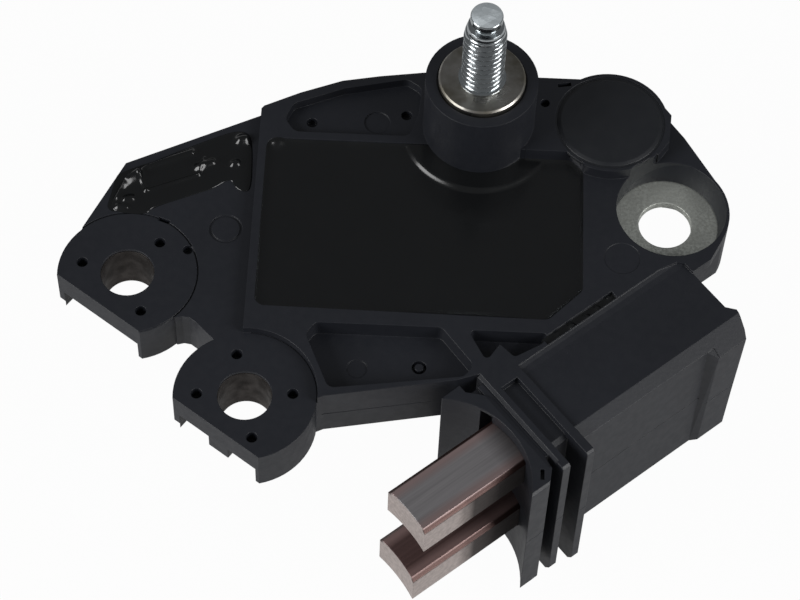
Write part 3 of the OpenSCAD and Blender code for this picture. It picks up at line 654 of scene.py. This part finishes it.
def thread_tree(material):
    """A screw thread as a sheet rolled round the stud, its radius following the helix."""
    tree, given, keys = new_tree("Screw thread", ("Major", "Minor", "Pitch", "Bottom", "Top",
                                                  "Cone", "Axis X", "Axis Y"))
    o = given.outputs
    # points round the thread and up it, and how fast the cone at its end narrows
    round_count, up_count, narrowing = 97, 181, 0.222
    sheet = add(tree, "GeometryNodeMeshGrid", {"Size X": 1.0, "Size Y": 1.0,
                                               "Vertices X": round_count,
                                               "Vertices Y": up_count})
    position = add(tree, "GeometryNodeInputPosition")
    spot = add(tree, "ShaderNodeSeparateXYZ", {0: position.outputs[0]})
    turned = math_node(tree, "ADD", spot.outputs["X"], 0.5)
    up = math_node(tree, "ADD", spot.outputs["Y"], 0.5)
    rise = math_node(tree, "SUBTRACT", o["Top"], o["Bottom"])
    z = math_node(tree, "ADD", math_node(tree, "MULTIPLY", up, rise), o["Bottom"])
    phase = math_node(tree, "SUBTRACT", math_node(tree, "DIVIDE", z, o["Pitch"]), turned)
    phase = math_node(tree, "FRACT", phase)
    flank = math_node(tree, "ABSOLUTE", math_node(tree, "SUBTRACT",
                                                  math_node(tree, "MULTIPLY", phase, 2.0), 1.0))
    # the root is flat over a fifth of the pitch and the crest over a seventh
    crest = spread(tree, flank, 0.0, 1.0, 0.2, 0.86)
    depth = math_node(tree, "SUBTRACT", o["Major"], o["Minor"])
    r = math_node(tree, "ADD", o["Minor"], math_node(tree, "MULTIPLY", crest, depth))
    over = math_node(tree, "MAXIMUM", math_node(tree, "SUBTRACT", z, o["Cone"]), 0.0)
    cone = math_node(tree, "SUBTRACT", o["Major"], math_node(tree, "MULTIPLY", over, narrowing))
    r = math_node(tree, "MINIMUM", r, cone)
    # the sheet's first and last rows shrink to the axis and close the thread
    inside = math_node(tree, "LESS_THAN", math_node(tree, "ABSOLUTE", spot.outputs["Y"]), 0.499)
    r = math_node(tree, "MULTIPLY", r, inside)
    angle = math_node(tree, "MULTIPLY", turned, 2 * math.pi)
    x = math_node(tree, "ADD", math_node(tree, "MULTIPLY", r, math_node(tree, "COSINE", angle)),
                  o["Axis X"])
    y = math_node(tree, "ADD", math_node(tree, "MULTIPLY", r, math_node(tree, "SINE", angle)),
                  o["Axis Y"])
    place = add(tree, "ShaderNodeCombineXYZ", {"X": x, "Y": y, "Z": z})
    rolled = add(tree, "GeometryNodeSetPosition", {"Geometry": sheet.outputs["Mesh"],
                                                   "Position": place.outputs[0]})
    sewn = add(tree, "GeometryNodeMergeByDistance", {"Geometry": rolled.outputs[0],
                                                     "Distance": MERGE})
    both = add(tree, "GeometryNodeJoinGeometry")
    tree.links.new(sewn.outputs[0], both.inputs[0])
    tree.links.new(o["Geometry"], both.inputs[0])
    close_tree(tree, both.outputs[0], material)
    return tree, keys


def coil_tree(name, material, strands):
    """A wire or a bundle of wires wound along Z, then laid along the brush axis."""
    tree, given, keys = new_tree(name, ("Radius", "Wire", "Turns", "Length", "X", "Y", "Z"))
    o = given.outputs
    # points in a turn of the coil, and round its wire
    turn_points, wire_points = 28, 10
    path = add(tree, "GeometryNodeCurveSpiral", {"Resolution": turn_points,
                                                 "Rotations": o["Turns"],
                                                 "Start Radius": o["Radius"],
                                                 "End Radius": o["Radius"], "Height": o["Length"]})
    section = add(tree, "GeometryNodeCurvePrimitiveCircle", {"Resolution": wire_points,
                                                             "Radius": o["Wire"]})
    wire = add(tree, "GeometryNodeCurveToMesh", {"Curve": path.outputs[0],
                                                 "Profile Curve": section.outputs[0],
                                                 "Fill Caps": True})
    shape = wire.outputs[0]
    if strands > 1:
        ring = add(tree, "GeometryNodeMeshLine", {"Count": strands, "Offset": (0, 0, 0)})
        index = add(tree, "GeometryNodeInputIndex")
        turn = math_node(tree, "MULTIPLY", index.outputs[0], 2 * math.pi / strands)
        spin = add(tree, "ShaderNodeCombineXYZ", {"Z": turn})
        shape = add(tree, "GeometryNodeInstanceOnPoints", {"Points": ring.outputs[0],
                                                           "Instance": shape,
                                                           "Rotation": spin.outputs[0]}).outputs[0]
    spot = add(tree, "ShaderNodeCombineXYZ", {"X": o["X"], "Y": o["Y"], "Z": o["Z"]})
    laid = add(tree, "GeometryNodeTransform", {"Geometry": shape, "Translation": spot.outputs[0],
                                               "Rotation": (0, math.pi / 2, BRUSH_ANGLE)})
    close_tree(tree, laid.outputs[0], material)
    return tree, keys


# ---- operators ----

class REGULATOR_OT_mouldings(bpy.types.Operator):
    """Gives the housing, the cap and the rear cover their black plastics"""
    bl_idname = "regulator.mouldings"
    bl_label = "Mouldings"

    def execute(self, context):
        colours = context.scene.regulator_finishes
        nylon = moulded_nylon(list(colours.housing))
        dress(nylon, "housing")
        cap = moulded_cap(list(colours.cover))
        dress(cap, "round_cap", "rear_cover")
        # a ring closes the seam between the cap and its rim
        low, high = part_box("round_cap")
        middle, top = (low + high) / 2, high.z / MM
        radius = (high.x - low.x) / 2 / MM
        build = bmesh.new()
        inner, outer, bottom, brim = radius - 0.2, radius + 0.3, top - 0.6, top - 0.2
        lathe(build, Vector((middle.x, middle.y, 0)), [
            (inner, bottom), (outer, bottom), (outer, brim), (radius + 0.1, top - 0.24),
            (inner, brim), (inner, bottom)], 96)
        settle(mesh_object("cap_seam", build, cap), "cover_plastic")
        # a block closes the slit between the cap's land, a little lower than the cap, and the
        # tower's wall
        build = bmesh.new()
        corners = [(13.2, 19.81), (14.0, 19.81), (14.0, 23.5), (13.2, 23.5)]
        bottom, land = 7.2, top - 0.152
        under = [build.verts.new(plan(x, y, bottom)) for x, y in corners]
        over = [build.verts.new(plan(x, y, land)) for x, y in corners]
        for i in range(4):
            j = (i + 1) % 4
            build.faces.new([under[i], under[j], over[j], over[i]])
        build.faces.new(under[::-1])
        build.faces.new(over)
        settle(mesh_object("land_root", build, nylon), "housing_plastic")
        return {"FINISHED"}


class REGULATOR_OT_stud(bpy.types.Operator):
    """Makes the terminal stud with its rolled thread, neck and dog point"""
    bl_idname = "regulator.stud"
    bl_label = "Terminal stud"

    def execute(self, context):
        sizes = context.scene.regulator_stud
        colours = context.scene.regulator_finishes
        zinc = plated_steel(list(colours.zinc), shade(colours.zinc, 0.8), "zinc_on_thread", 0.12,
                            0.2, 0.9, 0.04)
        low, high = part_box("terminal_stud")
        middle = (low + high) / 2
        axis = Vector((middle.x, middle.y, 0))
        head = round(low.z / MM, 2)
        build = bmesh.new()
        corner, chamfered = 4.62, 4.5
        lathe(build, axis, [(0, head), (chamfered, head), (corner, head + 0.2),
                            (corner, head + 2.3), (chamfered, head + 2.5), (0, head + 2.5)], 6)
        lathe(build, axis, [(0, head + 2.4), (2.5, head + 2.4)] + STUD_STEPS, 96)
        piece = mesh_object("threaded_stud", build, zinc)
        tree, keys = thread_tree(zinc)
        run_tree(piece, tree, keys, {
            "Major": sizes.major, "Minor": sizes.minor, "Pitch": sizes.pitch,
            "Bottom": sizes.bottom, "Top": sizes.top, "Cone": sizes.cone,
            "Axis X": axis.x, "Axis Y": axis.y})
        build = bmesh.new()
        build.from_mesh(piece.data)
        bmesh.ops.recalc_face_normals(build, faces=build.faces)
        build.to_mesh(piece.data)
        build.free()
        for face in piece.data.polygons:
            face.use_smooth = True
        # the thread's flanks stay soft and the shoulders sharp
        piece.data.set_sharp_from_angle(angle=math.radians(40))
        settle(piece, "zinc_steel", "terminal_stud")
        build = bmesh.new()
        sheared_end(build, axis, *STUD_STEPS[-1])
        settle(mesh_object("stud_end", build, sheared_steel(list(colours.zinc)), smooth=5),
               "zinc_steel")
        dress(plated_steel(list(colours.washer), list(colours.stain), "zinc_on_washer", 0.24,
                           0.5, 1.6, 0.05), "contact_washer")
        return {"FINISHED"}


class REGULATOR_OT_metalwork(bpy.types.Operator):
    """Gives the lug sleeves, the eyelet and the busbars their metals"""
    bl_idname = "regulator.metalwork"
    bl_label = "Sleeves, eyelet and busbars"

    def execute(self, context):
        colours = context.scene.regulator_finishes
        # the sleeves' dark colour is painted shade of the bores
        dress(plated_steel(list(colours.sleeve), shade(colours.sleeve, 0.7), "bore_shaded_steel",
                           0.45, 0.6, 0.8), "left_lug_sleeve", "front_lug_sleeve")
        dress(stamped_sheet(list(colours.eyelet)), "eyelet")
        dress(plain_metal("stamped_brass", list(colours.brass), 0.35), "ground_busbar",
              "stud_busbar", "upper_contact", "lower_contact")
        return {"FINISHED"}


class REGULATOR_OT_potting(bpy.types.Operator):
    """Pours the resin of the well, with its slope up the walls and the tower"""
    bl_idname = "regulator.potting"
    bl_label = "Potting"

    def execute(self, context):
        sizes = context.scene.regulator_resin
        resin = cast_resin(list(context.scene.regulator_finishes.resin), "potting_epoxy", 0.2,
                           0.003)
        loop = level_outline("potting", 6.0)
        wall, rise, reach = sizes.wall_rise / MM, sizes.tower_rise / MM, sizes.tower_reach / MM
        # the pool's floor and level, how far it climbs from the wall, and the collar's slope
        bottom, level, climb, slope = 2.0, 7.4, 0.45, 0.7

        def height(x, y, d):
            near = np.hypot(x - TOWER[0], y - TOWER[1]) - TOWER_RADIUS
            # a collar that ends in a short steep slope, highest where the resin was poured
            bearing = np.arctan2(y - TOWER[1], x - TOWER[0]) - POUR_BEARING
            fall = np.clip((near - reach + slope / 2) / slope, 0, 1)
            collar = rise * (0.52 + 0.48 * np.cos(bearing)) * (0.5 + 0.5 * np.cos(math.pi * fall))
            drop = ridge(x, y, (-15.5, 20.6), (-15.1, 20.7), 0.55, 0.6)
            return level + np.maximum(wall * np.exp(-d / climb), collar) + drop

        # the mesh is close where the collar falls
        edge = TOWER_RADIUS + reach
        radii = np.arange(edge - 0.6, edge + 0.6, 0.1)
        piece = resin_pool("potting_surface", loop, sizes.step / MM, height, bottom, resin,
                           (np.array(TOWER), radii))
        settle(piece, "resin", "potting")
        return {"FINISHED"}


class REGULATOR_OT_sealant(bpy.types.Operator):
    """Lays the glossy sealant over the weld tabs of the wing and the resin in the trench"""
    bl_idname = "regulator.sealant"
    bl_label = "Sealant"

    def execute(self, context):
        wet = cast_resin(list(context.scene.regulator_finishes.resin), "glossy_sealant", 0.15,
                         0.007)
        # where the film meets the wing, how much it swells, and how wide its rounded edge is
        level, swell, edge = 6.93, 0.22, 0.6

        def film_height(x, y, d):
            z = level + swell * (1 - np.exp(-d / edge))
            for a, b, width in WELTS:
                welt = ridge(x, y, a, b, WELT_STEEPNESS * width, width)
                z = z + welt * np.clip(d / 0.5, 0, 1)
            return z

        def fill_height(x, y, d):
            # level, and just under the film
            return np.full(len(d), 6.92)

        def trench_height(x, y, d):
            # the resin climbs the trench's walls and lies in slow waves
            z = 7.38 + 0.12 * np.exp(-d / 0.25) + 0.06 * np.sin(x * 2.1 + 0.6) * np.sin(y * 1.7)
            for u, v, rise, width in LUMPS:
                spot = holder(u, v) / MM - Vector((PLAN_X, PLAN_Y, 0))
                z = z + ridge(x, y, spot[:2], spot[:2], rise, width)
            return z

        # outline, spacing of the points, surface, floor and replaced node of each pool
        for name, loop, step, height, bottom, nodes in (
                ("wing_sealant_film", smooth_loop(FILM), 0.15, film_height, 6.5, ()),
                ("wing_sealant_fill", level_outline("wing_sealant", 6.8), 0.5, fill_height,
                 6.15, ("wing_sealant",)),
                ("trench_surface", level_outline("trench_sealant", 7.2), 0.18, trench_height,
                 6.72, ("trench_sealant",))):
            settle(resin_pool(name, loop, step, height, bottom, wet), "resin", *nodes)
        return {"FINISHED"}


class REGULATOR_OT_brushes(bpy.types.Operator):
    """Gives the brushes their ground copper graphite"""
    bl_idname = "regulator.brushes"
    bl_label = "Brushes"

    def execute(self, context):
        colours = context.scene.regulator_finishes
        across = holder(0, BRUSH_ACROSS)
        middle = -across.x * math.sin(BRUSH_ANGLE) + across.y * math.cos(BRUSH_ANGLE)
        # the number after each name is how far, in millimetres, the brush's sides stay free of the
        # painted shade of the holder
        for name, unshaded_length, shaded_top in (("upper_brush", 4.8, colours.shaded_brush_top),
                                  ("lower_brush", 6.5, colours.shaded_lower_top)):
            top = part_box(name)[1].z
            tip = min(v.co.x * math.cos(BRUSH_ANGLE) + v.co.y * math.sin(BRUSH_ANGLE)
                      for v in NODES[name].data.vertices)
            dress(copper_graphite(list(colours.carbon), list(shaded_top), list(colours.rust),
                                  top, middle, tip + unshaded_length * MM), name)
        return {"FINISHED"}


class REGULATOR_OT_springs(bpy.types.Operator):
    """Winds the brush springs and twists the pigtails inside them"""
    bl_idname = "regulator.springs"
    bl_label = "Springs and pigtails"

    def execute(self, context):
        sizes = context.scene.regulator_spring
        wire = plain_metal("spring_wire", linear("a8a9a6"), 0.3)
        copper = plain_metal("copper_strand", linear("c0764e"), 0.35)
        coil, coil_keys = coil_tree("Spring", wire, 1)
        braid, braid_keys = coil_tree("Pigtail", copper, 6)
        axis = Vector((math.cos(BRUSH_ANGLE), math.sin(BRUSH_ANGLE), 0))
        # the CAD pigtail's thickness, how far a strand winds off its middle, and the ends' play
        pigtail_width, lay, play = 1.1 * MM, 0.3 * MM, 0.3 * MM
        twists = 4
        for side in ("upper", "lower"):
            low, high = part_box(side + "_pigtail")
            middle = (low + high) / 2
            long = (high - low).x / axis.x - pigtail_width * abs(axis.y) / axis.x
            start = middle - axis * long / 2
            for part, tree, keys, radius, thick, turns, slot in (
                    ("spring", coil, coil_keys, sizes.radius, sizes.wire, sizes.turns,
                     "spring_steel"),
                    ("pigtail", braid, braid_keys, lay, sizes.strand, twists, "copper_braid")):
                build = bmesh.new()
                bmesh.ops.create_vert(build, co=start)
                name = side + "_" + part
                piece = mesh_object(name + "_wire", build, wire)
                run_tree(piece, tree, keys, {
                    "Radius": radius, "Wire": thick, "Turns": turns, "Length": long - play,
                    "X": start.x, "Y": start.y, "Z": start.z})
                settle(piece, slot, name)
                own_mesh(piece)
        return {"FINISHED"}


class REGULATOR_OT_circuit(bpy.types.Operator):
    """Gives the circuit under the resin its plain finishes"""
    bl_idname = "regulator.circuit"
    bl_label = "Circuit"

    def execute(self, context):
        colours = context.scene.regulator_finishes
        dress(plain_metal("rolled_aluminium", list(colours.aluminium), 0.4), "heat_sink",
              "capacitor")
        dress(plain_body("white_alumina", linear("e2e1d8"), 0.6), "substrate")
        dress(plain_body("chip_epoxy", linear("1b1b1d"), 0.5), "control_chip", "power_chip",
              "diode_chip")
        return {"FINISHED"}


class REGULATOR_OT_stage(bpy.types.Operator):
    """Sets the pale floor, the soft lamps and the camera at the photograph's angle"""
    bl_idname = "regulator.stage"
    bl_label = "Stage"

    def execute(self, context):
        scene, settings = context.scene, context.scene.regulator_stage
        scene.view_settings.view_transform = "Standard"
        mesh = bpy.data.meshes.new("floor")
        half, z = 3, cad_low.z - 0.2 * MM
        mesh.from_pydata([(-half, -half, z), (half, -half, z), (half, half, z), (-half, half, z)],
                         [], [(0, 1, 2, 3)])
        floor = bpy.data.objects.new("floor", mesh)
        scene.collection.objects.link(floor)
        # white where the camera sees it, a paler grey in glossy faces, grey paper for all else,
        # so that the object keeps its shadow
        material, tree, _, surface = finish("white_paper")
        surface.inputs["Base Color"].default_value = linear("b4b4b4")
        surface.inputs["Roughness"].default_value = 0.9
        ray = add(tree, "ShaderNodeLightPath").outputs
        seen_share = 0.97
        seen = math_node(tree, "MAXIMUM", ray["Is Camera Ray"], ray["Is Transmission Ray"])
        glow = add(tree, "ShaderNodeEmission", {"Color": (1, 1, 1, 1), "Strength": 1.0})
        share = math_node(tree, "MAXIMUM", math_node(tree, "MULTIPLY", seen, seen_share),
                          math_node(tree, "MULTIPLY", ray["Is Glossy Ray"], settings.mirrored))
        mixed = add(tree, "ShaderNodeMixShader", {0: share, 1: surface.outputs["BSDF"],
                                                  2: glow.outputs[0]})
        end = next(n for n in tree.nodes if n.bl_idname == "ShaderNodeOutputMaterial")
        tree.links.new(mixed.outputs[0], end.inputs["Surface"])
        mesh.materials.append(material)

        world = bpy.data.worlds.new("studio")
        world.use_nodes = True
        back = world.node_tree.nodes["Background"]
        back.inputs["Color"].default_value = linear("f4f6f8")
        back.inputs["Strength"].default_value = settings.sky
        scene.world = world

        # both lamps are soft squares 0.3 m wide, aimed at the middle of the part
        target, size = plan(4, 4, 4), 0.3
        for name, place, power in (("left_lamp", (-0.43, -0.2, 0.27), settings.left),
                                   ("right_lamp", (0.44, -0.22, 0.26), settings.right)):
            lamp = bpy.data.lights.new(name, "AREA")
            lamp.energy, lamp.size = power, size
            light = bpy.data.objects.new(name, lamp)
            light.location = target + Vector(place)
            light.rotation_euler = Vector(place).to_track_quat("Z", "Y").to_euler()
            scene.collection.objects.link(light)

        # the camera that was fitted to the photograph: distance in millimetres, focal length
        # and width in pixels, and the sensor that Blender takes for that width
        tilt, roll, reach = math.radians(59.074), math.radians(2.4), 334.95
        focal, width, sensor = 2903.45, 800, 36
        ahead = Vector((0, math.cos(tilt), -math.sin(tilt)))
        over = Vector((0, math.sin(tilt), math.cos(tilt)))
        side = Vector((1, 0, 0)) * math.cos(roll) + over * math.sin(roll)
        up = over * math.cos(roll) - Vector((1, 0, 0)) * math.sin(roll)
        spot = plan(0, 0, 6.9) - ahead * reach * MM
        eye = bpy.data.cameras.new("camera")
        eye.sensor_width, eye.lens, eye.clip_start = sensor, focal / width * sensor, 0.01
        camera = bpy.data.objects.new("camera", eye)
        turn = Matrix((side, up, -ahead)).transposed()
        camera.matrix_world = Matrix.Translation(spot) @ turn.to_4x4()
        scene.collection.objects.link(camera)
        scene.camera = camera
        return {"FINISHED"}


OPERATORS = (REGULATOR_OT_stage, REGULATOR_OT_mouldings, REGULATOR_OT_stud,
             REGULATOR_OT_metalwork, REGULATOR_OT_potting, REGULATOR_OT_sealant,
             REGULATOR_OT_brushes, REGULATOR_OT_springs, REGULATOR_OT_circuit)


class REGULATOR_PT_panel(bpy.types.Panel):
    """Lists the pieces of the regulator"""
    bl_idname = "REGULATOR_PT_panel"
    bl_label = "Voltage regulator"
    bl_space_type = "VIEW_3D"
    bl_region_type = "UI"
    bl_category = "Regulator"

    def draw(self, context):
        for name in GROUPS:
            group = getattr(context.scene, "regulator_" + name)
            box = self.layout.box()
            # the first two are the group's own name and type
            for key in group.bl_rna.properties.keys()[2:]:
                box.prop(group, key)
        for operator in OPERATORS:
            self.layout.operator(operator.bl_idname)


GROUPS = {"stud": StudSizes, "resin": ResinSizes, "spring": SpringSizes, "stage": StageSettings,
          "finishes": Finishes}


def register():
    """Adds the groups of sizes to the scene, and the operators and the panel to Blender."""
    for name, group in GROUPS.items():
        bpy.utils.register_class(group)
        setattr(bpy.types.Scene, "regulator_" + name, bpy.props.PointerProperty(type=group))
    for operator in OPERATORS:
        bpy.utils.register_class(operator)
    bpy.utils.register_class(REGULATOR_PT_panel)


def unregister():
    """Takes away what register added."""
    bpy.utils.unregister_class(REGULATOR_PT_panel)
    for operator in reversed(OPERATORS):
        bpy.utils.unregister_class(operator)
    for name, group in GROUPS.items():
        delattr(bpy.types.Scene, "regulator_" + name)
        bpy.utils.unregister_class(group)


def main():
    register()
    for operator in OPERATORS:
        group, name = operator.bl_idname.split(".")
        getattr(getattr(bpy.ops, group), name)()


if __name__ == "__main__":
    main()
